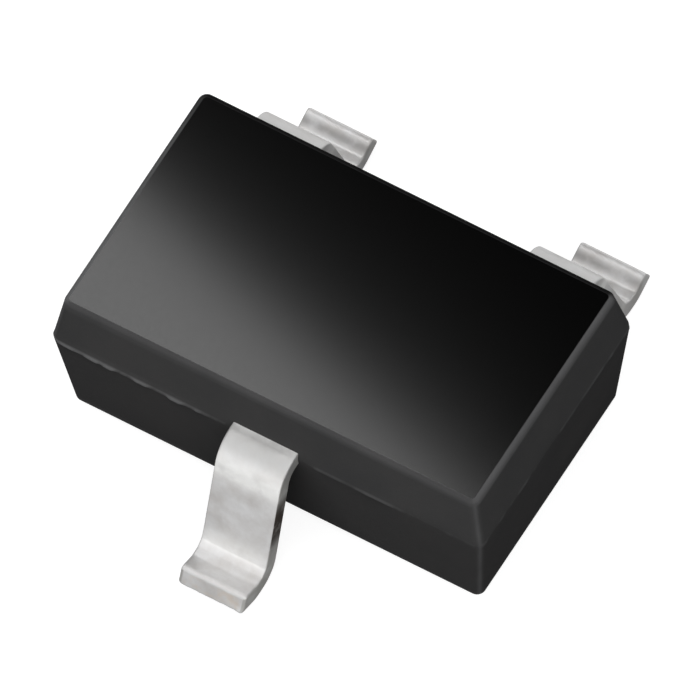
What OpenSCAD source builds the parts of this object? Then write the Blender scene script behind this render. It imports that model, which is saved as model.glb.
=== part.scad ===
// Small-signal n-channel MOSFET in a three-lead surface-mount package.
// X runs along the body, the single drain lead points to -Y, the gate and source leads to +Y.
// Z is up, and the board that the feet rest on is z = 0.

/* [Moulded body] */
// Length of the body at the parting line
body_l = 2.06; // [1.86:0.02:2.2]
// Width of the body at the parting line
body_w = 1.24; // [1.16:0.02:1.34]
// Height of the upper half of the moulding, from the parting line up
upper_h = 0.27; // [0.26:0.01:0.45]
// Height of the lower half of the moulding, from the parting line down
lower_h = 0.53; // [0.4:0.01:0.56]
// Lean of the upper half's walls, in degrees from upright, so that the mould lets go
upper_draft = 9; // [3:0.5:12]
// Lean of the lower half's walls
lower_draft = 6; // [3:0.5:10]
// Radius of the upright corners
corner_r = 0.04; // [0.03:0.005:0.08]
// Radius of the edges round the top and the underside
edge_r = 0.02; // [0.01:0.005:0.025]
// Height of the flat band where the two mould halves meet
parting_band = 0.01; // [0.005:0.005:0.02]
// Gap between the underside of the body and the board
standoff = 0.05; // [0.02:0.01:0.1]

/* [Leads] */
// Thickness of the stamped strip
lead_t = 0.09; // [0.08:0.005:0.12]
// Width of a lead outside the body
lead_w = 0.31; // [0.22:0.01:0.36]
// Distance between the centre lines of the gate and source leads
lead_pitch = 1.30; // [1.2:0.02:1.36]
// Straight run of a lead between the body and its first bend
shoulder_l = 0.015; // [0.01:0.005:0.05]
// Inside radius of the bend at the shoulder
shoulder_r = 0.05; // [0.04:0.01:0.12]
// Inside radius of the bend at the heel
heel_r = 0.04; // [0.03:0.005:0.08]
// Lean of the riser between the two bends, in degrees from upright
riser_lean = 18; // [8:1:20]
// Length of the flat sole that rests on the board
sole_l = 0.03; // [0.025:0.005:0.1]
// Radius of the curve that lifts the toe
toe_r = 0.05; // [0.04:0.01:0.12]
// Lift of the toe, in degrees
toe_lift = 22; // [8:1:26]
// Length of the straight tip past that curve
toe_l = 0.084; // [0.06:0.002:0.12]

/* [Metal inside the body] */
// Length of the die paddle along the body
paddle_l = 1.10; // [0.8:0.02:1.3]
// Width of the die paddle across the body
paddle_w = 0.48; // [0.44:0.01:0.56]
// Straight run of the drain lead from the wall to the bends that lower the paddle
neck_l = 0.11; // [0.04:0.01:0.16]
// Depth of the paddle below the level of the leads
paddle_downset = 0.10; // [0.06:0.01:0.14]
// Flat run between those bends and the paddle
paddle_lip = 0.02; // [0.01:0.005:0.03]
// Inside radius of the two bends
downset_r = 0.055; // [0.03:0.005:0.07]
// Width of a bonding post along the body
post_w = 0.46; // [0.4:0.02:0.5]
// Depth of the wide part of a bonding post
post_depth = 0.20; // [0.16:0.01:0.24]
// Gap punched between the posts and the paddle
punch_gap = 0.12; // [0.1:0.01:0.14]
// Radius of the punched corners of the paddle and the posts
punch_r = 0.03; // [0.01:0.005:0.05]

/* [Silicon die] */
// Length of the die along the body
die_l = 0.50; // [0.4:0.02:0.6]
// Width of the die across the body
die_w = 0.38; // [0.32:0.01:0.4]
// Thickness of the die
die_t = 0.12; // [0.08:0.01:0.14]
// Thickness of the layer that fixes the die to the paddle
attach_t = 0.02; // [0.015:0.005:0.03]
// Width of the rim of that layer round the die
attach_rim = 0.02; // [0.01:0.005:0.02]
// Thickness of the metal pads on the die
pad_t = 0.005; // [0.003:0.001:0.01]
// Side of the square gate pad
gate_pad = 0.10; // [0.08:0.01:0.12]
// Bare silicon between the pads and round them
pad_margin = 0.03; // [0.02:0.005:0.04]

/* [Bond wires] */
// Diameter of the wire
wire_d = 0.025; // [0.02:0.001:0.038]
// Diameter of the squashed ball on a pad
ball_d = 0.065; // [0.05:0.005:0.08]
// Height of the squashed ball
ball_h = 0.02; // [0.015:0.005:0.03]
// Diameter of the stitch that presses the far end on a post
stitch_d = 0.06; // [0.05:0.005:0.08]
// Height of the stitch
stitch_h = 0.015; // [0.01:0.005:0.02]
// Height of the loop's pull above the ball
loop_h = 0.10; // [0.06:0.01:0.12]
// Distance of a stitch from the inner edge of its post
stitch_in = 0.10; // [0.06:0.01:0.14]
// Distance of a stitch from its lead's centre line, towards the die
stitch_over = 0.08; // [0:0.01:0.12]

/* [Hidden] */
$fn = 48;

// Heights
part_z = standoff + lower_h;
top_z = part_z + upper_h;
paddle_top_z = part_z - paddle_downset + lead_t / 2;
post_top_z = part_z + lead_t / 2;
die_z = paddle_top_z + attach_t;
pad_z = die_z + die_t;

// Two equal bends lower the paddle, so their angle follows from its depth
downset_mid_r = downset_r + lead_t / 2;
downset_angle = acos(1 - paddle_downset / (2 * downset_mid_r));

// Places across the body, from the front wall to the back
wall_y = body_w / 2;
lip_y = -wall_y + neck_l + 2 * downset_mid_r * sin(downset_angle);
paddle_y = lip_y + paddle_lip + paddle_w / 2;
post_edge_y = paddle_y + paddle_w / 2 + punch_gap;

// The riser takes up the fall from the parting line to the sole that the bends leave over
bend_angle = 90 - riser_lean;
shoulder_mid_r = shoulder_r + lead_t / 2;
heel_mid_r = heel_r + lead_t / 2;
riser_fall = part_z - lead_t / 2 - (shoulder_mid_r + heel_mid_r) * (1 - cos(bend_angle));
riser_l = riser_fall / cos(riser_lean);

// Places along a lead: the start of its sole and its tip
sole_y = wall_y + shoulder_l + (shoulder_mid_r + heel_mid_r) * sin(bend_angle) + riser_l * sin(riser_lean);
toe_mid_r = toe_r + lead_t / 2;
tip_y = sole_y + sole_l + (toe_mid_r + lead_t / 2) * sin(toe_lift) + toe_l * cos(toe_lift);

// Pads on the die: the gate pad in the corner next to the gate post, the source pad beside it
gate_pad_x = die_l / 2 - pad_margin - gate_pad / 2;
gate_pad_y = paddle_y + die_w / 2 - pad_margin - gate_pad / 2;
source_pad_l = die_l - gate_pad - 3 * pad_margin;
source_pad_w = die_w - 2 * pad_margin;
source_pad_x = pad_margin + source_pad_l / 2 - die_l / 2;

// Ends of the bond wires
stitch_x = lead_pitch / 2 - stitch_over;
stitch_y = post_edge_y + stitch_in;

// Facets of a wire, the steps along its loop and the hair of room that its far end keeps from the post
wire_sides = 8;
loop_steps = 16;
wire_room = 0.001;

// How far over a wire's loop its second pull lies, as a share of the way to the stitch
loop_reach = 0.6;

// Steps round a quarter of an upright corner, and up the rounded edge of the body
corner_steps = 6;
edge_steps = 4;

// Largest angle between the facets of a bend
bend_facet_angle = 5;

// The steps of a formed strip, each [length, 0] for a straight run or [mid-line radius, angle] for a bend.
// Every strip starts at the far wall of the body and is cut to its plan.
gull_wing = [[shoulder_mid_r, -bend_angle], [riser_l, 0], [heel_mid_r, bend_angle],
             [sole_l, 0], [toe_mid_r, toe_lift], [toe_l, 0]];
drain_steps = concat([[wall_y - lip_y, 0], [downset_mid_r, downset_angle],
                      [downset_mid_r, -downset_angle], [neck_l + shoulder_l, 0]], gull_wing);
post_steps = concat([[body_w + shoulder_l, 0]], gull_wing);

// Points round a rectangle with rounded corners, anticlockwise from above
function rounded(length, width, r) =
    [for (q = [0 : 3], k = [0 : corner_steps])
        let (a = 90 * (q + k / corner_steps),
             x = (q == 0 || q == 3 ? 1 : -1) * (length / 2 - r),
             y = (q < 2 ? 1 : -1) * (width / 2 - r))
        [x + r * cos(a), y + r * sin(a)]];

// A closed skin over rings of equally many points, anticlockwise about the way that the rings travel
module skin(rings) {
    n = len(rings[0]);
    last = n * (len(rings) - 1);
    sides = [for (i = [0 : n : last - 1], k = [0 : n - 1])
        let (next = (k + 1) % n)
        [i + k, i + n + k, i + n + next, i + next]];
    caps = [[for (k = [0 : n - 1]) k], [for (k = [n - 1 : -1 : 0]) last + k]];
    polyhedron(points = [for (ring = rings, p = ring) p], faces = concat(sides, caps), convexity = 4);
}

// Levels of one half of the moulding from its parting line: [height, inset of the wall, inset of the edge].
// The wall leans by the draft, and the edge round the far face is an arc tangent to both.
function half_levels(height, draft) =
    let (wall_h = height - edge_r, wall_inset = (wall_h - parting_band / 2) * tan(draft))
    concat([[parting_band / 2, 0, 0]],
           [for (k = [0 : edge_steps])
               let (a = draft + (90 - draft) * k / edge_steps)
               [wall_h + edge_r * sin(a), wall_inset, edge_r * (1 / cos(draft) - cos(a))]]);

// The outline of the moulding at one of those levels, above the parting line or below it
function moulding_ring(level, way) =
    let (inset = level[1] + level[2])
    [for (p = rounded(body_l - 2 * inset, body_w - 2 * inset, corner_r - level[2]))
        [p[0], p[1], part_z + way * level[0]]];

module moulding() {
    lower = half_levels(lower_h, lower_draft);
    upper = half_levels(upper_h, upper_draft);
    skin(concat([for (i = [len(lower) - 1 : -1 : 0]) moulding_ring(lower[i], -1)],
                [for (level = upper) moulding_ring(level, 1)]));
}

// The station at the end of a straight run
function run_end(at, length) = [at[0] + length * cos(at[2]), at[1] + length * sin(at[2]), at[2]];

// Stations round a bend about a mid-line radius, upwards if its angle is positive
function bend(at, radius, angle) =
    let (n = ceil(abs(angle) / bend_facet_angle), r = radius * sign(angle))
    [for (k = [1 : n])
        let (a = at[2] + angle * k / n)
        [at[0] + r * (sin(a) - sin(at[2])), at[1] - r * (cos(a) - cos(at[2])), a]];

// Stations [outwards, up, heading] along the mid-line of a strip, after the one that it starts at
function stations(steps, at, i = 0) =
    i == len(steps) ? [] :
    let (step = steps[i], on = step[1] == 0 ? [run_end(at, step[0])] : bend(at, step[0], step[1]))
    concat(on, stations(steps, on[len(on) - 1], i + 1));

// The closed outline of a strip round the stations of its mid-line
function strip_outline(mid) =
    let (last = len(mid) - 1, half = [for (m = mid) lead_t / 2 * [-sin(m[2]), cos(m[2])]])
    concat([for (i = [0 : last]) [mid[i][0], mid[i][1]] + half[i]],
           [for (i = [last : -1 : 0]) [mid[i][0], mid[i][1]] - half[i]]);

// A strip bent to its steps, starting so far above the parting line, and cut to the plan of its children.
// Side is 1 for a lead that points to the back and -1 for the front.
module formed_strip(steps, start_up, side) {
    start = [-body_w, start_up, 0];
    intersection() {
        translate([0, side * wall_y, part_z])
            rotate([90, 0, side * 90])
                linear_extrude(height = 2 * body_l, center = true)
                    polygon(strip_outline(concat([start], stations(steps, start))));
        linear_extrude(height = top_z)
            children();
    }
}

// The plan of a lead from inside the body to past its tip
module lead_plan(x, inner_y, side) {
    outer_y = side * (tip_y + lead_t);
    translate([x - lead_w / 2, min(inner_y, outer_y)])
        square([lead_w, abs(outer_y - inner_y)]);
}

// The plan of a pad of metal inside the body, its corners rounded by the punch
module pad_plan(x, y, length, width) {
    translate([x, y])
        polygon(rounded(length, width, punch_r));
}

// The drain lead is one piece with the paddle that carries the die
module drain_metal() {
    formed_strip(drain_steps, -paddle_downset, -1) {
        lead_plan(0, paddle_y, -1);
        pad_plan(0, paddle_y, paddle_l, paddle_w);
    }
}

// A gate or source lead widens inside the body to a post for its bond wire
module post_metal(x) {
    post_y = post_edge_y + post_depth / 2;
    formed_strip(post_steps, 0, 1) {
        lead_plan(x, post_y, 1);
        pad_plan(x, post_y, post_w, post_depth);
    }
}

// The centre line of a wire from a ball to a stitch, as a cubic curve
function on_loop(p, t) =
    pow(1 - t, 3) * p[0] + 3 * pow(1 - t, 2) * t * p[1] + 3 * (1 - t) * t * t * p[2] + pow(t, 3) * p[3];

// Its direction at the same place
function along_loop(p, t) =
    pow(1 - t, 2) * (p[1] - p[0]) + 2 * (1 - t) * t * (p[2] - p[1]) + t * t * (p[3] - p[2]);

// A round wire carried along its loop, which lies in one upright plane
module wire_loop(start, end) {
    flat = [end[0] - start[0], end[1] - start[1], 0];
    lift = [0, 0, loop_h];
    pull = [start, start + lift, start + loop_reach * flat + lift, end];
    across = [-flat[1], flat[0], 0] / norm(flat);
    skin([for (i = [0 : loop_steps])
        let (t = i / loop_steps, up = cross(along_loop(pull, t), across))
        [for (k = [0 : wire_sides - 1])
            let (a = (k + 0.5) * 360 / wire_sides)
            on_loop(pull, t) + wire_d / 2 * (cos(a) * across + sin(a) * up / norm(up))]]);
}

// A bond wire with its ball on a pad and its stitch on a post
module bond_wire(ball, stitch) {
    translate(ball)
        cylinder(h = ball_h, d = ball_d);
    translate(stitch)
        cylinder(h = stitch_h, d = stitch_d);
    wire_loop(ball + [0, 0, ball_h / 2], stitch + [0, 0, wire_d / 2 + wire_room]);
}

module gate_wire_metal() {
    bond_wire([gate_pad_x, gate_pad_y, pad_z + pad_t], [stitch_x, stitch_y, post_top_z]);
}

module source_wire_metal() {
    bond_wire([source_pad_x, paddle_y, pad_z + pad_t], [-stitch_x, stitch_y, post_top_z]);
}

// A plate centred on the paddle
module on_paddle(size, z) {
    translate([-size[0] / 2, paddle_y - size[1] / 2, z])
        cube(size);
}

module attach_layer() {
    on_paddle([die_l + 2 * attach_rim, die_w + 2 * attach_rim, attach_t], paddle_top_z);
}

module die_block() {
    on_paddle([die_l, die_w, die_t], die_z);
    translate([gate_pad_x - gate_pad / 2, gate_pad_y - gate_pad / 2, pad_z])
        cube([gate_pad, gate_pad, pad_t]);
    translate([source_pad_x - source_pad_l / 2, paddle_y - source_pad_w / 2, pad_z])
        cube([source_pad_l, source_pad_w, pad_t]);
}

module moulded_body() {
    color("#1c1c1e")
        difference() {
            moulding();
            drain_metal();
            post_metal(lead_pitch / 2);
            post_metal(-lead_pitch / 2);
            attach_layer();
            die_block();
            gate_wire_metal();
            source_wire_metal();
        }
}

module drain_lead() {
    color("#c9c7c3")
        drain_metal();
}

module gate_lead() {
    color("#c9c7c3")
        post_metal(lead_pitch / 2);
}

module source_lead() {
    color("#c9c7c3")
        post_metal(-lead_pitch / 2);
}

module die_attach() {
    color("#9a9a96")
        attach_layer();
}

module silicon_die() {
    color("#5b6470")
        die_block();
}

module gate_bond_wire() {
    color("#d8b24a")
        gate_wire_metal();
}

module source_bond_wire() {
    color("#d8b24a")
        source_wire_metal();
}

moulded_body();
drain_lead();
gate_lead();
source_lead();
die_attach();
silicon_die();
gate_bond_wire();
source_bond_wire();
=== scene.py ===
"""A small surface-mount n-channel MOSFET: a black moulding, three tinned leads and the die and wires sealed inside.

Lengths below are in millimetres and are turned into metres when a mesh is made.
X runs along the body, the drain lead points to -Y, the gate and source leads to +Y, and the board is z = 0.
"""
import math

import bmesh
import bpy
import numpy as np
from mathutils import Matrix, Vector


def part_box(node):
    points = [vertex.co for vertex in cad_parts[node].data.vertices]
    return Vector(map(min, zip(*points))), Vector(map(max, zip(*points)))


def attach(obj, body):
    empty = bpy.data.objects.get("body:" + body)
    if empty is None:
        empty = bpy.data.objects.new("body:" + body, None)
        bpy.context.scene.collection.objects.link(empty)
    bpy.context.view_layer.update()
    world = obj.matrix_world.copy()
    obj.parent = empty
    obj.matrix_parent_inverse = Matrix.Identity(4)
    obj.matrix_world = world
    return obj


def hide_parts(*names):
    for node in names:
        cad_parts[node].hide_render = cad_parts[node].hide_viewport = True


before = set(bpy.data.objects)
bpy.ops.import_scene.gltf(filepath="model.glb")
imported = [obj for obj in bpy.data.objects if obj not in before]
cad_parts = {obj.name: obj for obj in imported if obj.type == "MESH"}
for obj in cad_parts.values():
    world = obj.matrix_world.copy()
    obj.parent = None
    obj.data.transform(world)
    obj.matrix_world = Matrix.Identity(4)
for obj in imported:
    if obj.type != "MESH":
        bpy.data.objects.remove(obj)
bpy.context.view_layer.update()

MM = 0.001

# The moulding: the sizes of the solid that it stands for
BODY_L, BODY_W = 2.06, 1.24
UPPER_H, LOWER_H, STANDOFF = 0.27, 0.53, 0.05
UPPER_DRAFT, LOWER_DRAFT = math.radians(9), math.radians(6)
CORNER_R, EDGE_R = 0.04, 0.02
# The walls stand inside the solid's by WALL_IN, so that the flash, FLASH_OUT proud and FLASH_T high, stays in its box
WALL_IN, FLASH_OUT, FLASH_T = 0.005, 0.015, 0.017
# Rings on a wall, on an edge's arc and on a flat face, and columns on a corner, a long side and an end
WALL_RINGS, ARC_RINGS, FACE_RINGS = 14, 9, 7
CORNER_COLUMNS, LONG_COLUMNS, END_COLUMNS = 10, 150, 90
# Shares of the way round, anticlockwise from the corner at (+X, +Y): the heaviest flash, and a corner with little
HEAVY_AT, HEAVY_REACH = 0.545, 0.10
HELD_AT, HELD_REACH = 0.51, 0.02
FLASH_SEED, WANDER_SEED = 33, 8

# The leads: the sizes of the solids that they stand for
LEAD_T, LEAD_W, LEAD_PITCH = 0.09, 0.31, 1.30
SHOULDER_L, SHOULDER_R, HEEL_R = 0.015, 0.05, 0.04
RISER_LEAN = math.radians(18)
SOLE_L, TOE_R, TOE_LIFT, TOE_L = 0.03, 0.05, math.radians(22), 0.084
# Radii of the long edges, rolled below and crisp above, and of the edges round a cut end
ROLL_R, CRISP_R, END_R = 0.018, 0.008, 0.008
# A tip's upper side comes down by TAPER_H over its last TAPER_L, and the burr hangs BURR below the cut
TAPER_L, TAPER_H, BURR, BURR_REACH = 0.03, 0.009, 0.003, 0.02
# The heel's inner corner is fuller than the solid's
HEEL_FILL, HEEL_REACH = 0.0094, 0.065
# Length at a tip that is cut into close rings, and their number
TIP_L, TIP_RINGS = 0.11, 20
# Soft bands across a lead, each (place, reach, strength): painted highlights, painted shade on the shoulder's crown,
# and a painted dark reflection across the back feet. The first four are placed from the end of the shoulder's bend
# or from the middle of the heel's, and the back feet's from the tip
SHOULDER_END_HIGHLIGHT = (0.018, 0.042, 1.6)
SHOULDER_START_HIGHLIGHT = (-0.135, 0.035, 1.3)
HEEL_HIGHLIGHT = (-0.070, 0.055, 0.70)
CROWN_SHADE = (-0.080, 0.045, 1.35)
BACK_FOOT_DARK_REFLECTION = (0.056, 0.024, 0.40)
# Height and half height of the painted dark reflection on the drain lead's flanks
DARK_REFLECTION_Z, DARK_REFLECTION_REACH = 0.33, 0.14

# The metal inside the moulding
PADDLE_L, PADDLE_W, PADDLE_DOWNSET, PADDLE_LIP = 1.10, 0.48, 0.10, 0.02
NECK_L, DOWNSET_R, PUNCH_GAP, PUNCH_R = 0.11, 0.055, 0.12, 0.03
POST_W, POST_DEPTH = 0.46, 0.20

PART_Z = STANDOFF + LOWER_H
WALL_Y = BODY_W / 2
BEND = math.pi / 2 - RISER_LEAN
RISER_L = (PART_Z - LEAD_T / 2 - (SHOULDER_R + HEEL_R + LEAD_T) * (1 - math.cos(BEND))) / math.cos(RISER_LEAN)


# Meshes

def band(distance, reach, power=2):
    """A soft band: 1 in the middle, falling on both sides as exp(-(distance / reach) ^ power)."""
    return np.exp(-(distance / reach) ** power)


def wave_noise(t, seed, waves=24, low=1.0, high=24.0):
    """A smooth random curve of period 1 in t, about -1 to 1.

    It is a sum of sines with whole-number frequencies from low to high and seeded phases, and its sizes fall with
    frequency."""
    draw = np.random.default_rng(seed)
    frequency = np.round(np.geomspace(low, high, waves))
    phase = draw.uniform(0, 2 * np.pi, waves)
    size = draw.uniform(0.4, 1.0, waves) / frequency ** 0.35
    curve = (size * np.sin(2 * np.pi * frequency * np.asarray(t)[..., None] + phase)).sum(-1)
    return curve / np.sqrt((size ** 2).sum() / 2) / 2


def rounded_rings(half_l, half_w, radius, arc_steps=8, long_steps=24, short_steps=12):
    """Rows of points round rounded rectangles, anticlockwise from the corner at (+, +).

    Each corner is an arc about its own centre, (half_l - r, half_w - r), and straight sides join the arcs.
    half_l and half_w are one value a row, and radius is four a row, from the corner at (+, +) round.
    Returns (rows, columns, 2)."""
    rows = len(half_l)
    radius = np.broadcast_to(np.asarray(radius, float).reshape(rows, -1), (rows, 4))
    radius = np.minimum(radius, np.minimum(half_l, half_w)[:, None])
    sign_x, sign_y = np.array([1, -1, -1, 1]), np.array([1, 1, -1, -1])
    centre = np.stack([sign_x * (half_l[:, None] - radius), sign_y * (half_w[:, None] - radius)], -1)
    angle = np.radians(90 * np.arange(4)[:, None] + np.linspace(0, 90, arc_steps + 1)[None, :])
    arcs = centre[:, :, None, :] + radius[:, :, None, None] * np.stack([np.cos(angle), np.sin(angle)], -1)
    parts = []
    for quarter in range(4):
        steps = long_steps if quarter % 2 == 0 else short_steps
        start, end = arcs[:, quarter, -1], arcs[:, (quarter + 1) % 4, 0]
        share = (np.arange(1, steps) / steps)[None, :, None]
        parts += [arcs[:, quarter], start[:, None] * (1 - share) + end[:, None] * share]
    return np.concatenate(parts, 1)


def skin(name, points, **values):
    """A closed mesh over rows of points in millimetres, each row a ring whose first and last rows fold flat.

    The folded rows and the seams are merged. Values are point attributes, one number a point."""
    rows, columns = points.shape[:2]
    index = np.arange(rows * columns).reshape(rows, columns)
    turned = np.roll(index, -1, 1)
    quads = np.stack([index[:-1], turned[:-1], turned[1:], index[1:]], -1).reshape(-1, 4)
    mesh = bpy.data.meshes.new(name)
    mesh.from_pydata((points.reshape(-1, 3) * MM).tolist(), [], quads.tolist())
    for key, value in values.items():
        layer = mesh.attributes.new(key, "FLOAT", "POINT")
        layer.data.foreach_set("value", np.broadcast_to(value, (rows, columns)).astype(np.float32).ravel())
    work = bmesh.new()
    work.from_mesh(mesh)
    bmesh.ops.remove_doubles(work, verts=work.verts, dist=2e-8)
    bmesh.ops.dissolve_degenerate(work, dist=1e-9, edges=work.edges)
    bmesh.ops.recalc_face_normals(work, faces=work.faces)
    work.to_mesh(mesh)
    work.free()
    mesh.shade_smooth()
    piece = bpy.data.objects.new(name, mesh)
    bpy.context.scene.collection.objects.link(piece)
    return piece


def half_moulding(height, draft):
    """The levels of one half, from the parting line on: height, inset, corner radius and depth below the rounded edge.

    The wall leans by the draft, an arc of EDGE_R is tangent to it and to the flat face, and the face's rings
    draw in to its middle line. The depth counts as 0 on the arc and as 1 on the face."""
    wall_h = height - EDGE_R
    wall = wall_h - (wall_h - FLASH_T) * np.linspace(1, 0, WALL_RINGS) ** 1.8
    turn = np.linspace(draft, np.pi / 2, ARC_RINGS + 1)[1:]
    drawn_in = np.linspace(0, 1, FACE_RINGS + 1)[1:] ** 2.5
    wall_inset = WALL_IN + (wall - FLASH_T) * np.tan(draft)
    arc_inset = wall_inset[-1] + EDGE_R * (1 / np.cos(draft) - np.cos(turn))
    face_inset = arc_inset[-1] + (WALL_Y - arc_inset[-1]) * drawn_in
    z = np.concatenate([wall, wall_h + EDGE_R * np.sin(turn), np.full(FACE_RINGS, height)])
    inset = np.concatenate([wall_inset, arc_inset, face_inset])
    radius = np.concatenate([np.full(WALL_RINGS, CORNER_R), CORNER_R - (arc_inset - wall_inset[-1]),
                             np.linspace(1, 0, FACE_RINGS + 1)[1:] * (CORNER_R - EDGE_R)])
    below = np.concatenate([wall_h - wall, np.zeros(ARC_RINGS), np.ones(FACE_RINGS)])
    return z, inset, radius, below


def moulding():
    """The epoxy moulding: two drafted halves whose rings meet in three rings of flash at the parting line.

    The flash is pushed out along the wall's normal and wanders up and down by wave_noise round the body, most at
    its heaviest place. Masks for the material: pale lines on edges and corners, partly rubbed wear and partly painted
    highlight, the flash, the flat top, and painted shade on the top's rounding at the back."""
    up, down = half_moulding(UPPER_H, UPPER_DRAFT), half_moulding(LOWER_H, LOWER_DRAFT)
    ridge_z = np.array([-0.5, 0.0, 0.5]) * FLASH_T
    z = np.concatenate([-down[0][::-1], ridge_z, up[0]])
    inset = np.concatenate([down[1][::-1], np.full(3, WALL_IN), up[1]])
    radius = np.concatenate([down[2][::-1], np.full(3, CORNER_R), up[2]])
    below = np.concatenate([down[3][::-1], np.ones(3), up[3]])
    rings = rounded_rings(BODY_L / 2 - inset, BODY_W / 2 - inset, radius, CORNER_COLUMNS, LONG_COLUMNS, END_COLUMNS)

    # The flash
    around = np.arange(rings.shape[1]) / rings.shape[1]
    heavy = band(around - HEAVY_AT, HEAVY_REACH)
    held = 1 - 0.75 * band(around - HELD_AT, HELD_REACH)
    ragged = 0.08 + 0.50 * heavy + (0.22 + 0.50 * heavy) * wave_noise(around, FLASH_SEED, 40, 5, 170)
    ragged = np.clip(ragged, 0, 1)
    wander = 0.35 * FLASH_T * wave_noise(around, WANDER_SEED, 20, 2, 60) * (0.3 + heavy)
    first = len(down[0])
    middle = rings[first:first + 3]
    corner_centre = np.array([BODY_L, BODY_W]) / 2 - WALL_IN - CORNER_R
    outward = np.sign(middle) * np.maximum(np.abs(middle) - corner_centre, 0)
    outward /= np.linalg.norm(outward, axis=-1, keepdims=True)
    push = FLASH_OUT * np.array([0.55, 1.0, 0.55])[:, None] * ragged * held
    rings[first:first + 3] = middle + push[..., None] * outward
    level = PART_Z + z[:, None] + np.zeros(rings.shape[:2])
    level[first:first + 3] += wander
    points = np.concatenate([rings, level[..., None]], -1)

    # The masks: pale edge lines, partly rubbed wear and partly painted highlight, strongest at the ends and weakest at
    # the back, and a painted highlight line on each corner at 45 degrees of its turn. Painted shade keeps the top's
    # black on over its rounding along the back and the -X end's back half, where the edge highlight is also held back
    on_wall = np.abs(np.gradient(z)) > 1e-6
    right, ahead = outward[1, :, 0], -outward[1, :, 1]
    aside = np.abs(right)
    turn = np.degrees(np.arctan2(np.abs(ahead), aside))
    behind = np.clip(0.5 + middle[1, :, 1] / BODY_W, 0, 1)
    # Painted shade at the back and the -X end's back half: it holds back the edge highlight there and blackens the
    # top's rounding
    shaded_side = np.maximum(-right, 0) ** 2 * behind ** 2.5 + np.maximum(-ahead, 0) ** 2
    at_end = np.where(right < 0, 1.12, 0.72)
    wear_and_highlight = (0.08 + at_end * aside ** 2 + 0.16 * np.maximum(ahead, 0)) * (1 - 0.8 * shaded_side)
    edge = wear_and_highlight * band(below[:, None], 0.008 + 0.012 * heavy, 4)
    # A painted highlight line down each upright corner
    corner = 1.2 * wear_and_highlight * band(turn - 45, 14) * on_wall[:, None]
    flash = np.zeros(len(z))
    flash[first - 1:first + 4] = [0, 1, 1, 1, 0]
    top = np.arange(len(z)) >= len(z) - FACE_RINGS
    rounding = (np.arange(len(z)) >= len(z) - FACE_RINGS - ARC_RINGS) & ~top
    return skin("moulding", points, edge=np.maximum(edge, corner), flash=flash[:, None] * ragged[None, :],
                top=top[:, None], black=rounding[:, None] * shaded_side)


def walk(start, steps, arc_step=math.radians(3)):
    """Stations (outwards, up, heading) along a strip's mid-line.

    A step (length, 0) is straight and is cut into short lengths, and a step (radius, angle) is an arc about a
    centre beside the strip."""
    out, up, heading = start
    line = [[start]]
    for size, turn in steps:
        if turn == 0:
            share = np.linspace(0, 1, max(2, int(size / 0.02)) + 1)[1:]
            line.append(np.stack([out + size * share * np.cos(heading), up + size * share * np.sin(heading),
                                  np.full(share.shape, heading)], -1))
        else:
            share = np.linspace(0, 1, int(np.ceil(abs(turn) / arc_step)) + 1)[1:]
            angle, bend = heading + turn * share, size * np.sign(turn)
            line.append(np.stack([out + bend * (np.sin(angle) - np.sin(heading)),
                                  up - bend * (np.cos(angle) - np.cos(heading)), angle], -1))
        out, up, heading = line[-1][-1]
    return np.concatenate(line)


def gull_wing():
    """The steps of a lead outside the body: shoulder, riser, heel, sole and lifted toe."""
    return [(SHOULDER_R + LEAD_T / 2, -BEND), (RISER_L, 0), (HEEL_R + LEAD_T / 2, BEND), (SOLE_L, 0),
            (TOE_R + LEAD_T / 2, TOE_LIFT), (TOE_L, 0)]


def plate_width(place, width, first, last, half):
    """The half widths with a plate's put in from first to last: half, less a quarter circle of PUNCH_R at both ends."""
    inside = (place >= first - 1e-9) & (place <= last + 1e-9)
    depth = np.clip(np.minimum(place - first, last - place), 0, PUNCH_R)
    wide = half - PUNCH_R + np.sqrt(np.maximum(PUNCH_R ** 2 - (PUNCH_R - depth) ** 2, 0))
    return np.where(inside, wide, width)


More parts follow.
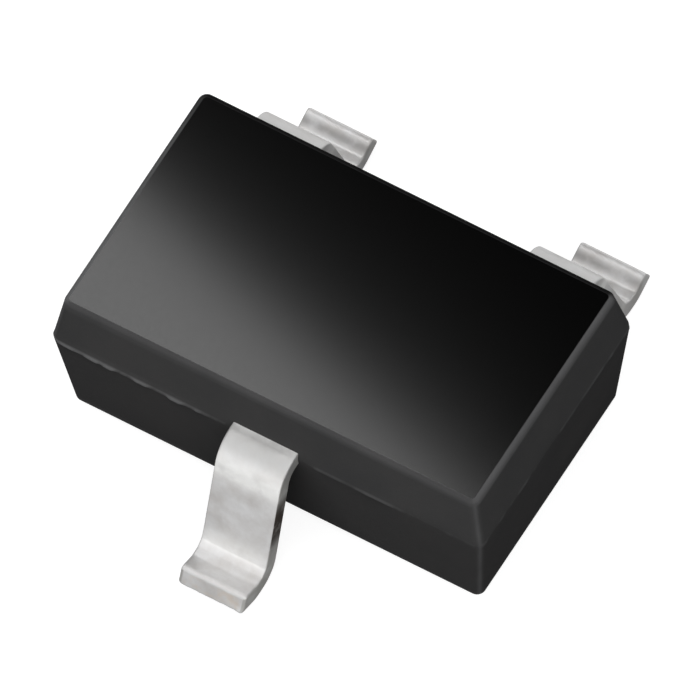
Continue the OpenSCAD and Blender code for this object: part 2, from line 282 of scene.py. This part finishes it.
def formed_lead(name, x, side, start, steps, plates, shaded_lead=0.0):
    """A stamped strip carried along its mid-line: a rounded rectangle as the section, drawn in over the last rings at
    both ends. Its upper side is raised by a soft band at the heel and lowered as a square law at the tip.

    Plates are (first, last, half width) along the line, where the strip is wider inside the body. The last argument is
    1 for the lead whose flanks carry a painted dark reflection. Masks for the material: cut flanks, partly darkened as
    painted shade, painted highlight bands, painted dark reflections, bare cut end, and painted shade on the tip's
    rounding and the shoulder's crown."""
    line = walk(start, steps)
    along = np.concatenate([[0], np.cumsum(np.hypot(*np.diff(line[:, :2], axis=0).T))])
    total = along[-1]
    turn = np.linspace(0, np.pi / 2, 6)
    tip_in = np.concatenate([END_R * (1 - np.cos(turn)), np.linspace(END_R, LEAD_T / 2, 6)[1:]])
    tip_at = np.concatenate([END_R * (1 - np.sin(turn)), np.zeros(5)])

    # The rings' places along the line, their half widths and how far they are drawn in
    cuts = [along[(along > END_R) & (along < total - TIP_L)], total - np.linspace(TIP_L, END_R * 1.1, TIP_RINGS)]
    for first, last, _ in plates:
        quarter = PUNCH_R * (1 - np.cos(np.linspace(0, np.pi / 2, 7)))
        cuts.append(np.concatenate([first + quarter, last - quarter[::-1]]))
    place = np.sort(np.concatenate(cuts))
    width = np.full(place.shape, LEAD_W / 2)
    for plate in plates:
        width = plate_width(place, width, *plate)
    near = width[0]
    place = np.concatenate([tip_at[::-1], place, total - tip_at])
    inset = np.concatenate([tip_in[::-1], np.zeros(width.shape), tip_in])
    width = np.concatenate([np.full(len(tip_in), near), width, np.full(len(tip_in), LEAD_W / 2)])
    middle = np.stack([np.interp(place, along, line[:, k]) for k in range(3)], -1)
    heading = middle[:, 2:3]

    # The section, across the strip and high through it
    radius = np.stack([CRISP_R - inset, CRISP_R - inset, ROLL_R - inset, ROLL_R - inset], -1)
    ring = rounded_rings(width - 2 * inset, LEAD_T / 2 - inset, np.maximum(radius, 0), 5, 20, 5)
    across, high = ring[..., 0], ring[..., 1]
    heel = total - TOE_L - (TOE_R + LEAD_T / 2) * TOE_LIFT - SOLE_L - (HEEL_R + LEAD_T / 2) * BEND / 2
    shoulder = heel - (HEEL_R + LEAD_T / 2) * BEND / 2 - RISER_L
    near_tip = np.clip(1 - (total - place) / TAPER_L, 0, 1)
    thicker = HEEL_FILL * band(place - heel, HEEL_REACH) - TAPER_H * near_tip ** 2
    high = high + thicker[:, None] * np.clip(high / LEAD_T + 0.5, 0, 1)
    ragged = 0.5 + wave_noise(across / LEAD_W, int(abs(x) * 10) + side + 5, 16, 1, 12)
    cut_end = (place[:, None] > total - END_R) * np.clip(-high / (LEAD_T / 2), 0, 1) ** 3
    burr = cut_end * (BURR * ragged + 2.5 * BURR * band(across - LEAD_W / 2, BURR_REACH))
    out = middle[:, 0:1] - high * np.sin(heading) + burr * np.cos(heading)
    up = middle[:, 1:2] + high * np.cos(heading) + burr * np.sin(heading)
    points = np.stack([x + across, side * (WALL_Y + out), PART_Z + up], -1)

    # The masks
    def stripe(origin, offset, reach, strength):
        return strength * band(place - origin - offset, reach)

    # Painted highlights: bright bands across the bends
    burnish = (stripe(shoulder, *SHOULDER_END_HIGHLIGHT) + stripe(heel, *HEEL_HIGHLIGHT)
               + stripe(shoulder, *SHOULDER_START_HIGHLIGHT))
    # A painted dark reflection as a band across the back feet
    foot_band_at, foot_band_reach, foot_band_strength = BACK_FOOT_DARK_REFLECTION
    back_foot_band = (1 - shaded_lead) * foot_band_strength * band(total - place - foot_band_at, foot_band_reach)
    flank = (np.abs(across) > (width - 2 * inset)[:, None] - 0.2 * CRISP_R) & (inset < 0.7 * END_R)[:, None]
    # A painted dark reflection of the body on the drain lead's riser flanks
    riser = band(PART_Z + middle[:, 1] - DARK_REFLECTION_Z, DARK_REFLECTION_REACH, 4) * (middle[:, 2] < -0.5)
    dark_reflection_mask = np.maximum(shaded_lead * flank * riser[:, None], back_foot_band[:, None] * np.clip(2 * high / LEAD_T, 0, 1))
    rounding = np.clip(inset / END_R, 0, 1)
    bare = (rounding == 1) * (place > total / 2)
    # Painted shade on the tip's rounding and across the shoulder's crown
    dull = (0.25 + 0.75 * shaded_lead) * 4 * rounding * (1 - rounding) + stripe(shoulder, *CROWN_SHADE)
    # The cut flanks are darkened partly as a cut edge and partly as painted shade, most on the drain lead
    return skin(name, points, cut=flank * (0.15 + 0.85 * shaded_lead), burnish=burnish[:, None], tarnish=dark_reflection_mask,
                bare=bare[:, None], dull=dull[:, None], along=place[:, None], across=across, high=high)


def leads():
    """The drain lead with its paddle, and the gate and source leads with their posts."""
    mid_r = DOWNSET_R + LEAD_T / 2
    angle = np.arccos(1 - PADDLE_DOWNSET / (2 * mid_r))
    lip_out = -NECK_L - 2 * mid_r * np.sin(angle)
    start = (lip_out - PADDLE_LIP - PADDLE_W, -PADDLE_DOWNSET, 0.0)
    steps = [(PADDLE_W + PADDLE_LIP, 0), (mid_r, angle), (mid_r, -angle), (NECK_L + SHOULDER_L, 0)] + gull_wing()
    drain = formed_lead("drain_strip", 0.0, -1, start, steps, [(0.0, PADDLE_W, PADDLE_L / 2)], 1.0)
    post_edge = BODY_W + lip_out - PADDLE_LIP - PADDLE_W - PUNCH_GAP
    steps = [(post_edge + SHOULDER_L, 0)] + gull_wing()
    start = (-post_edge, 0.0, 0.0)
    post = [(0.0, POST_DEPTH, POST_W / 2)]
    gate = formed_lead("gate_strip", LEAD_PITCH / 2, 1, start, steps, post)
    source = formed_lead("source_strip", -LEAD_PITCH / 2, 1, start, steps, post)
    return drain, gate, source


# Shader nodes

class Nodes:
    """Adds nodes to one tree and links their inputs, which are given by name as values or as other nodes' outputs."""

    def __init__(self, tree):
        self.tree = tree

    def add(self, kind, inputs=None, **settings):
        node = self.tree.nodes.new(kind)
        for key, value in settings.items():
            setattr(node, key, value)
        for key, value in (inputs or {}).items():
            socket = node.inputs[key]
            if isinstance(value, bpy.types.NodeSocket):
                self.tree.links.new(value, socket)
            else:
                socket.default_value = value
        return node

    def math(self, operation, a, b=0.5, clamp=False):
        return self.add("ShaderNodeMath", {0: a, 1: b}, operation=operation, use_clamp=clamp).outputs[0]

    def mix(self, share, a, b):
        """Colour a, with b laid over it by the share."""
        return self.add("ShaderNodeMix", {0: share, 6: a, 7: b}, data_type="RGBA").outputs[2]

    def blend(self, share, a, b):
        """A number from a to b by the share."""
        return self.add("ShaderNodeMix", {0: share, 2: a, 3: b}, data_type="FLOAT").outputs[0]

    def noise(self, vector, scale, detail=3.0, roughness=0.55):
        return self.add("ShaderNodeTexNoise", {"Vector": vector, "Scale": scale, "Detail": detail,
                                               "Roughness": roughness}).outputs["Fac"]

    def spread(self, value, low, high, to_low=0.0, to_high=1.0):
        """The value's range from low to high, spread over to_low to to_high and held at its ends."""
        return self.add("ShaderNodeMapRange", {0: value, 1: low, 2: high, 3: to_low, 4: to_high}).outputs[0]

    def mask(self, name):
        """A mesh's own attribute."""
        return self.add("ShaderNodeAttribute", attribute_name=name).outputs["Fac"]

    def in_mm(self):
        """Object coordinates in millimetres."""
        place = self.add("ShaderNodeTexCoord").outputs["Object"]
        return self.add("ShaderNodeVectorMath", {0: place, 1: (1000, 1000, 1000)}, operation="MULTIPLY").outputs[0]

    def height_in_mm(self, place):
        return self.add("ShaderNodeSeparateXYZ", {0: place}).outputs["Z"]

    def grain(self, place, scale):
        return self.add("ShaderNodeGroup", {"Place": place, "Scale": scale}, node_tree=GRAIN).outputs

    def mottle(self, place, scale):
        group = self.add("ShaderNodeGroup", {"Place": place, "Scale": scale}, node_tree=MOTTLE)
        return group.outputs["Mask"]

    def bump(self, height, depth):
        """A bumped normal, with the height's full range as deep as depth in millimetres."""
        return self.add("ShaderNodeBump", {"Height": height, "Distance": depth * MM, "Strength": 1.0}).outputs[0]


def node_group(name, inputs, outputs, build):
    """A shader node group with named float or vector sockets.

    Build gets its nodes and inputs, and returns its outputs by name."""
    kinds = {"float": "NodeSocketFloat", "vector": "NodeSocketVector"}
    tree = bpy.data.node_groups.new(name, "ShaderNodeTree")
    for key, (kind, default) in inputs.items():
        socket = tree.interface.new_socket(key, in_out="INPUT", socket_type=kinds[kind])
        if default is not None:
            socket.default_value = default
    for key, kind in outputs.items():
        tree.interface.new_socket(key, in_out="OUTPUT", socket_type=kinds[kind])
    nodes = Nodes(tree)
    given = nodes.add("NodeGroupInput")
    made = build(nodes, given.outputs)
    nodes.add("NodeGroupOutput", made)
    return tree


def build_grain(n, given):
    """Fine grain: 0.6 of a noise and 0.4 of one 3.7 times finer, whose highest spots are specks."""
    coarse = n.noise(given["Place"], given["Scale"], 2.0)
    fine = n.noise(given["Place"], n.math("MULTIPLY", given["Scale"], 3.7), 2.0)
    height = n.math("ADD", n.math("MULTIPLY", coarse, 0.6), n.math("MULTIPLY", fine, 0.4))
    return {"Height": height, "Specks": n.spread(fine, 0.60, 0.72)}


def build_mottle(n, given):
    """Soft clouds: a wide noise with its middle range spread out."""
    wide = n.noise(given["Place"], given["Scale"], 4.0, 0.6)
    return {"Mask": n.spread(wide, 0.35, 0.65)}


GRAIN = node_group("grain", {"Place": ("vector", None), "Scale": ("float", 60.0)},
                   {"Height": "float", "Specks": "float"}, build_grain)
MOTTLE = node_group("mottle", {"Place": ("vector", None), "Scale": ("float", 3.0)}, {"Mask": "float"}, build_mottle)


def plain_material(name):
    """A new material without nodes, and what adds nodes to it."""
    look = bpy.data.materials.new(name)
    look.use_nodes = True
    look.node_tree.nodes.clear()
    return look, Nodes(look.node_tree)


def material(name, build):
    """A material whose nodes a function builds. The function returns the Principled BSDF's inputs by name."""
    look, n = plain_material(name)
    surface = n.add("ShaderNodeBsdfPrincipled", build(n))
    n.add("ShaderNodeOutputMaterial", {"Surface": surface.outputs[0]})
    return look


# Finishes

EPOXY_DARK, EPOXY_PALE = (0.0435, 0.0435, 0.0442, 1), (0.0490, 0.0483, 0.0485, 1)
# Painted shade: the colour below the parting line, and the top's colour painted near black
EPOXY_SHADE_BELOW, EPOXY_SHADE_BLACK = (0.024, 0.0225, 0.0228, 1), (0.0006, 0.0006, 0.0006, 1)
# The rubbed colour is partly wear and partly painted highlight; the flash's paleness is partly painted highlight
FILLER, EPOXY_WEAR_HIGHLIGHT, EPOXY_FLASH_HIGHLIGHT = (0.11, 0.11, 0.111, 1), (0.098, 0.098, 0.100, 1), (0.125, 0.125, 0.127, 1)

TIN_WARM, TIN_COOL, TIN_STREAK = (0.605, 0.588, 0.575, 1), (0.725, 0.725, 0.728, 1), (0.62, 0.605, 0.59, 1)
# A painted highlight, a cut-flank colour that is partly painted shade, and a painted shade colour
TIN_HIGHLIGHT, TIN_CUT_AND_SHADE, TIN_SHADE = (0.93, 0.93, 0.915, 1), (0.47, 0.465, 0.44, 1), (0.40, 0.40, 0.395, 1)
# The dark brown is a painted dark reflection
COPPER_ALLOY, DARK_REFLECTION_COLOR = (0.66, 0.56, 0.46, 1), (0.035, 0.025, 0.019, 1)


def mould_compound(n):
    """Black filled epoxy: fine grain from the mould, filler specks, pale edge lines that are partly rubbed wear and
    partly painted highlight, and painted shade that makes it darker and browner below the parting line.

    The line of flash is pale, partly as a painted highlight. The flat top is polished under a clear coat that mirrors
    the lamps, and its colour, as on the top's rounding at the back, is painted near black as painted shade."""
    place = n.in_mm()
    grain, cloud = n.grain(place, 55.0), n.mottle(place, 2.6)
    # Pale edge lines: partly rubbed wear, partly painted highlight, weighted by side
    edge_wear_highlight = n.math("MULTIPLY", n.mask("edge"), n.spread(n.noise(place, 5.0, 4.0), 0.38, 0.60, 0.7, 1.0))
    lower = n.math("LESS_THAN", n.height_in_mm(place), PART_Z)
    color = n.mix(cloud, EPOXY_DARK, EPOXY_PALE)
    color = n.mix(n.math("MULTIPLY", grain["Specks"], 0.10), color, FILLER)
    # Painted shade: darker and browner below the parting line
    color = n.mix(n.math("MULTIPLY", lower, 0.26), color, EPOXY_SHADE_BELOW)
    # Painted shade: the flat top's colour is painted near black, darker than the epoxy; its clear coat is real
    color = n.mix(n.mask("top"), color, EPOXY_SHADE_BLACK)
    # Painted shade: the top's rounding at the back is painted as black as the top
    color = n.mix(n.math("MULTIPLY", n.mask("black"), 0.85), color, EPOXY_SHADE_BLACK)
    color = n.mix(n.math("MULTIPLY", edge_wear_highlight, 0.9), color, EPOXY_WEAR_HIGHLIGHT)
    # The flash's pale line is real flash, made paler as a painted highlight
    color = n.mix(n.math("MULTIPLY", n.mask("flash"), 0.9), color, EPOXY_FLASH_HIGHLIGHT)
    rough = n.blend(n.math("MULTIPLY", grain["Specks"], 0.3), n.blend(cloud, 0.58, 0.66), 0.35)
    polish = n.math("MULTIPLY", n.mask("top"), n.spread(grain["Height"], 0.3, 0.6, 0.92, 1.0))
    return {"Base Color": color, "Roughness": rough, "Specular IOR Level": 0.0, "Coat Weight": polish,
            "Coat Roughness": 0.16, "Coat IOR": 1.5, "Normal": n.bump(grain["Height"], 0.0011)}


def tin_plate(n):
    """Satin tin: cloudy plating with faint forming streaks along the strip.

    It has painted highlights in bands over the bends, cut flanks darkened partly by the cut and partly as painted
    shade, painted shade on the cut tip's rounded edges and the shoulder's crown, bare copper alloy in specks on the
    tip's face, and painted dark reflections on the drain lead's flanks and across the back feet."""
    place = n.in_mm()
    cloud, grain = n.mottle(place, 9.0), n.grain(place, 70.0)
    streak_place = n.add("ShaderNodeCombineXYZ", {0: n.math("MULTIPLY", n.mask("across"), 38.0),
                                                  1: n.math("MULTIPLY", n.mask("along"), 3.0),
                                                  2: n.math("MULTIPLY", n.mask("high"), 20.0)}).outputs[0]
    streaks = n.spread(n.noise(streak_place, 1.0, 3.0), 0.45, 0.7)
    burnish = n.math("MULTIPLY", n.mask("burnish"), n.spread(n.noise(place, 11.0), 0.30, 0.55, 0.35, 1.0))
    cut = n.math("MULTIPLY", n.mask("cut"), n.spread(n.noise(place, 14.0), 0.35, 0.55, 0.55, 1.0))
    bare = n.math("MULTIPLY", n.mask("bare"), n.spread(n.noise(place, 16.0), 0.45, 0.65, 0.0, 0.5))
    tarnish = n.math("MULTIPLY", n.mask("tarnish"), n.spread(n.noise(place, 13.0), 0.32, 0.50, 0.6, 0.97))
    color = n.mix(cloud, TIN_WARM, TIN_COOL)
    color = n.mix(n.math("MULTIPLY", streaks, 0.10), color, TIN_STREAK)
    # Painted highlights over the bends
    color = n.mix(n.math("MULTIPLY", burnish, 0.8), color, TIN_HIGHLIGHT)
    # Cut flanks: partly the cut edge's colour, partly painted shade
    color = n.mix(n.math("MULTIPLY", cut, 0.85), color, TIN_CUT_AND_SHADE)
    # Painted shade on the tip's rounding and the shoulder's crown
    color = n.mix(n.math("MULTIPLY", n.mask("dull"), 0.45), color, TIN_SHADE)
    color = n.mix(bare, color, COPPER_ALLOY)
    # Painted dark reflections: the drain lead's riser flanks and a band across the back feet
    color = n.mix(tarnish, color, DARK_REFLECTION_COLOR)
    rough = n.blend(tarnish, n.blend(cloud, 0.39, 0.46), 0.95)
    dents = n.noise(place, 7.0, 2.0)
    height = n.math("ADD", n.math("MULTIPLY", grain["Height"], 0.07), dents)
    return {"Base Color": color, "Roughness": rough, "Metallic": 0.47, "Normal": n.bump(height, 0.008)}


def silver_epoxy(n):
    """Cured die attach: dull silver flakes in resin."""
    grain = n.grain(n.in_mm(), 90.0)
    color = n.mix(grain["Height"], (0.22, 0.22, 0.21, 1), (0.52, 0.52, 0.50, 1))
    return {"Base Color": color, "Roughness": n.blend(grain["Specks"], 0.55, 0.3), "Metallic": 0.4,
            "Normal": n.bump(grain["Height"], 0.002)}


def silicon(n):
    """Polished silicon, darker round a regular pattern of cells, with pale aluminium pads on top."""
    place = n.in_mm()
    pad_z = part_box("silicon_die")[1].z / MM - 0.004
    pad = n.math("GREATER_THAN", n.height_in_mm(place), pad_z)
    cells = n.add("ShaderNodeTexVoronoi", {"Vector": place, "Scale": 45.0, "Randomness": 0.0}).outputs["Distance"]
    bare = n.mix(n.spread(cells, 0.2, 0.5), (0.045, 0.05, 0.075, 1), (0.085, 0.10, 0.14, 1))
    color = n.mix(pad, bare, (0.78, 0.78, 0.79, 1))
    return {"Base Color": color, "Roughness": n.blend(pad, 0.18, 0.4), "Metallic": n.blend(pad, 0.35, 1.0),
            "Normal": n.bump(n.grain(place, 120.0)["Height"], 0.0004)}


def gold(n):
    """Drawn gold wire with a fine grain."""
    grain = n.grain(n.in_mm(), 110.0)
    color = n.mix(grain["Height"], (0.86, 0.58, 0.20, 1), (0.95, 0.70, 0.32, 1))
    return {"Base Color": color, "Roughness": n.blend(grain["Specks"], 0.26, 0.36), "Metallic": 1.0,
            "Normal": n.bump(grain["Height"], 0.0004)}


# The part

def finish_piece(piece, look, node):
    """Gives a new piece its material and slot, attaches it to the root body and hides the CAD node that it stands for.
    """
    piece.data.materials.append(look)
    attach(piece, "root")
    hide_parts(node)


tin = material("tin_plate", tin_plate)
drain, gate, source = leads()
finish_piece(moulding(), material("mould_compound", mould_compound), "moulded_body")
finish_piece(drain, tin, "drain_lead")
finish_piece(gate, tin, "gate_lead")
finish_piece(source, tin, "source_lead")

gold_wire = material("gold_wire", gold)
for node, look in (("die_attach", material("silver_epoxy", silver_epoxy)),
                   ("silicon_die", material("silicon", silicon)),
                   ("gate_bond_wire", gold_wire),
                   ("source_bond_wire", gold_wire)):
    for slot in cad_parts[node].material_slots:
        slot.material = look


# The stage

FLOOR_HALF, FLOOR_GAP = 60.0, 0.0005
# The floor's own grey, its glow, and the distances from the part over which the glow in reflections comes up: nearer
# the part the reflections show painted shade
FLOOR_GREY, FLOOR_GLOW, GLOW_FROM, GLOW_FULL = (0.32, 0.32, 0.32, 1), 0.85, 1.4, 3.0
# The world as light, and in reflections: white below the first rise and a dim ceiling above the second
WORLD_LIGHT, WALL_TOP, CEILING, CEILING_LIGHT = 0.30, 0.15, 0.55, 0.01
AZIMUTH, ELEVATION, ROLL = math.radians(33.95), math.radians(60.0), math.radians(-4.0)
TARGET_RIGHT, TARGET_UP, CAMERA_AWAY = 0.0143, 0.2096, 20
PIXELS_PER_MM, FRAME_PIXELS = 243.7, 700
WHITE = (1, 1, 1, 1)


def floor():
    """A matt floor that also glows for the camera and for reflections, so that it is white but keeps a soft shadow.
    In reflections its glow is held back near the part, as painted shade.
    """
    mesh = bpy.data.meshes.new("floor")
    far = FLOOR_HALF * MM
    mesh.from_pydata([(-far, -far, 0), (far, -far, 0), (far, far, 0), (-far, far, 0)], [], [(0, 1, 2, 3)])
    mesh.transform(Matrix.Translation((0, 0, -FLOOR_GAP * MM)))
    piece = bpy.data.objects.new("floor", mesh)
    bpy.context.scene.collection.objects.link(piece)
    look, n = plain_material("floor")
    rays = n.add("ShaderNodeLightPath").outputs
    distance = n.add("ShaderNodeVectorMath", {0: n.in_mm()}, operation="LENGTH").outputs["Value"]
    mirrored = n.math("ADD", rays["Is Glossy Ray"], rays["Is Transmission Ray"])
    # Painted shade: the glow that reflections see is held back near the part
    mirrored = n.math("MULTIPLY", mirrored, n.spread(distance, GLOW_FROM, GLOW_FULL, 0.0, FLOOR_GLOW))
    glow = n.math("ADD", n.math("MULTIPLY", rays["Is Camera Ray"], FLOOR_GLOW), mirrored)
    matt = n.add("ShaderNodeBsdfDiffuse", {"Color": FLOOR_GREY})
    white = n.add("ShaderNodeEmission", {"Color": WHITE, "Strength": glow})
    both = n.add("ShaderNodeAddShader", {0: matt.outputs[0], 1: white.outputs[0]})
    n.add("ShaderNodeOutputMaterial", {"Surface": both.outputs[0]})
    mesh.materials.append(look)


def softbox(name, place, target, size, radiance, spin=0.0):
    """A rectangular lamp in millimetres that faces its target and shines with the same radiance all over.

    Its first side is level and across its line of aim, before it is spun about that line."""
    lamp = bpy.data.lights.new(name, "AREA")
    lamp.shape = "RECTANGLE"
    lamp.size, lamp.size_y = size[0] * MM, size[1] * MM
    lamp.energy = radiance * math.pi * size[0] * size[1] * MM ** 2
    piece = bpy.data.objects.new(name, lamp)
    bpy.context.scene.collection.objects.link(piece)
    aim = (Vector(target) - Vector(place)).normalized()
    level = Vector((0, 0, 1)).cross(aim).normalized()
    first = math.cos(spin) * level + math.sin(spin) * aim.cross(level)
    turn = Matrix((first, -aim.cross(first), -aim)).transposed()
    piece.matrix_world = Matrix.Translation(Vector(place) * MM) @ turn.to_4x4()
    piece.visible_camera = False


def studio():
    """A plain studio: white to the camera and low down in reflections, with a dim ceiling, and even grey as light."""
    made = bpy.data.worlds.new("studio")
    bpy.context.scene.world = made
    made.use_nodes = True
    made.node_tree.nodes.clear()
    n = Nodes(made.node_tree)
    rays = n.add("ShaderNodeLightPath").outputs
    direction = n.add("ShaderNodeTexCoord").outputs["Generated"]
    rise = n.add("ShaderNodeSeparateXYZ", {0: direction}).outputs["Z"]
    wall = n.spread(rise, WALL_TOP, CEILING, 1.0, CEILING_LIGHT)
    mirrored = n.math("ADD", rays["Is Glossy Ray"], rays["Is Transmission Ray"], clamp=True)
    level = n.blend(mirrored, WORLD_LIGHT, wall)
    level = n.blend(rays["Is Camera Ray"], level, 1.0)
    back = n.add("ShaderNodeBackground", {"Color": WHITE, "Strength": level})
    n.add("ShaderNodeOutputWorld", {"Surface": back.outputs[0]})


def camera():
    """A lens so long that it draws in parallel, on the photograph's line of sight and with its slight roll."""
    lens = bpy.data.cameras.new("camera")
    lens.type = "ORTHO"
    lens.ortho_scale = FRAME_PIXELS / PIXELS_PER_MM * MM
    lens.clip_start, lens.clip_end = 0.1 * MM, 400 * MM
    piece = bpy.data.objects.new("camera", lens)
    bpy.context.scene.collection.objects.link(piece)
    level = Vector((math.cos(AZIMUTH), math.sin(AZIMUTH), 0))
    back = Vector((math.sin(AZIMUTH) * math.cos(ELEVATION), -math.cos(AZIMUTH) * math.cos(ELEVATION),
                   math.sin(ELEVATION)))
    rise = back.cross(level)
    right = math.cos(ROLL) * level + math.sin(ROLL) * rise
    up = back.cross(right)
    turn = Matrix((right, up, back)).transposed()
    place = (TARGET_RIGHT * right + TARGET_UP * up + CAMERA_AWAY * back) * MM
    piece.matrix_world = Matrix.Translation(place) @ turn.to_4x4()
    bpy.context.scene.camera = piece


floor()
studio()
camera()
# The strip is what the polished top mirrors, and the others are large and soft
TOP, MID_BODY = (0, 0, 0.85), (0, 0, 0.4)
softbox("strip", (-2.215, 1.314, 4.585), TOP, (0.909, 4.262), 3.8, math.radians(-21.8))
softbox("front", (0, -5.29, 7.68), MID_BODY, (14, 17), 1.3)
softbox("back", (-1.5, 7.5, 3.2), MID_BODY, (10, 3.5), 1.1)
softbox("side", (6.5, -1.5, 5.0), MID_BODY, (6, 5), 1.25)
bpy.context.scene.view_settings.view_transform = "Standard"
